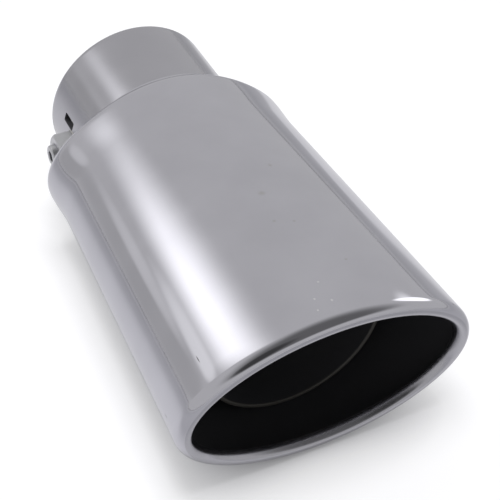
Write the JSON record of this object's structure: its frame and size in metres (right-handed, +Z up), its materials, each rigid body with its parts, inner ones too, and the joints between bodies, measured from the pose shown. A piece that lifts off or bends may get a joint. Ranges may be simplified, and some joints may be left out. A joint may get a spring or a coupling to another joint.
{
  "type": "exhaust tip",
  "caption": "Oval polished-steel exhaust tip with a rolled, raked outlet lip and a round inlet pipe that slips over a tailpipe and is held by a set screw.",
  "frame": {"origin": "centre of the inlet mouth, on the pipe's axis", "axes": "+Z up, as the tip lies and as it is fitted; +Y along the pipe towards the car, so the outlet faces -Y; +X to the right when the outlet is seen from the front"},
  "size_m": [0.1024, 0.1611, 0.0668],
  "materials": {
    "polished_steel": "mirror-polished stainless steel outside, black heat-proof coat inside",
    "polished_pipe": "polished stainless steel outside, black heat-proof coat inside",
    "nut_steel": "plain stainless steel",
    "screw_steel": "plain stainless steel"
  },
  "bodies": {
    "root": {"outer_shell": "polished_steel", "inlet_pipe": "polished_pipe", "clamp_nut": "nut_steel", "clamp_screw": "screw_steel"}
  },
  "joints": []
}
